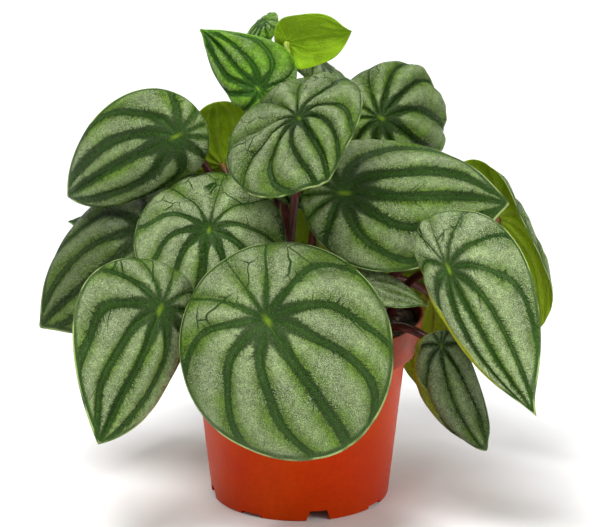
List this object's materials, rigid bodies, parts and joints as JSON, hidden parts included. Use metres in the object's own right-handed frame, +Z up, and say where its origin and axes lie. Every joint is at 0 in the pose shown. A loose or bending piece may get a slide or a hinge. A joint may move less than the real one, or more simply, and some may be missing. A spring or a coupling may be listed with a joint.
{
  "type": "potted plant",
  "caption": "Bushy foliage plant with round to oval striped leaves on curved stalks, growing from soil in a small tapered nursery pot with a collared rim and a notched foot.",
  "frame": {"origin": "centre of the circle that the pot stands on, at the height of the surface below it", "axes": "+Z up along the pot's axis, -Y towards the side that the leaves face in the front view, +X to the right in that view"},
  "size_m": [0.2506, 0.2041, 0.238],
  "materials": {
    "pot_plastic": "satin",
    "soil": "matte",
    "mature_blade": "satin",
    "young_blade": "satin",
    "red_stalk": "satin",
    "green_stalk": "satin"
  },
  "bodies": {
    "root": {"pot": "pot_plastic", "soil": "soil", "blade_front_round": "mature_blade", "petiole_front_round": "red_stalk", "blade_left_low": "mature_blade", "petiole_left_low": "red_stalk", "blade_left_centre": "mature_blade", "petiole_left_centre": "red_stalk", "blade_left_mid": "mature_blade", "petiole_left_mid": "red_stalk", "blade_left_up": "mature_blade", "petiole_left_up": "red_stalk", "blade_young_left": "young_blade", "petiole_young_left": "green_stalk", "blade_young_top": "young_blade", "petiole_young_top": "green_stalk", "blade_young_back": "young_blade", "petiole_young_back": "green_stalk", "blade_centre_up": "mature_blade", "petiole_centre_up": "red_stalk", "blade_right_up": "mature_blade", "petiole_right_up": "red_stalk", "blade_right_big": "mature_blade", "petiole_right_big": "red_stalk", "blade_back_top": "mature_blade", "petiole_back_top": "red_stalk", "blade_right_far": "mature_blade", "petiole_right_far": "red_stalk", "blade_right_front": "mature_blade", "petiole_right_front": "red_stalk", "blade_right_low": "mature_blade", "petiole_right_low": "red_stalk", "blade_small_grey": "mature_blade", "petiole_small_grey": "red_stalk", "blade_right_back": "mature_blade", "petiole_right_back": "red_stalk", "blade_under_centre": "mature_blade", "petiole_under_centre": "red_stalk", "blade_back_left_up": "mature_blade", "petiole_back_left_up": "red_stalk", "blade_left_far": "mature_blade", "petiole_left_far": "red_stalk", "blade_back_high": "mature_blade", "petiole_back_high": "red_stalk", "blade_back_right_up": "mature_blade", "petiole_back_right_up": "red_stalk", "blade_back_left_mid": "mature_blade", "petiole_back_left_mid": "red_stalk", "blade_back_mid": "mature_blade", "petiole_back_mid": "red_stalk", "blade_back_low_right": "mature_blade", "petiole_back_low_right": "red_stalk", "blade_back_low_left": "mature_blade", "petiole_back_low_left": "red_stalk", "blade_left_back_low": "mature_blade", "petiole_left_back_low": "red_stalk"}
  },
  "joints": []
}
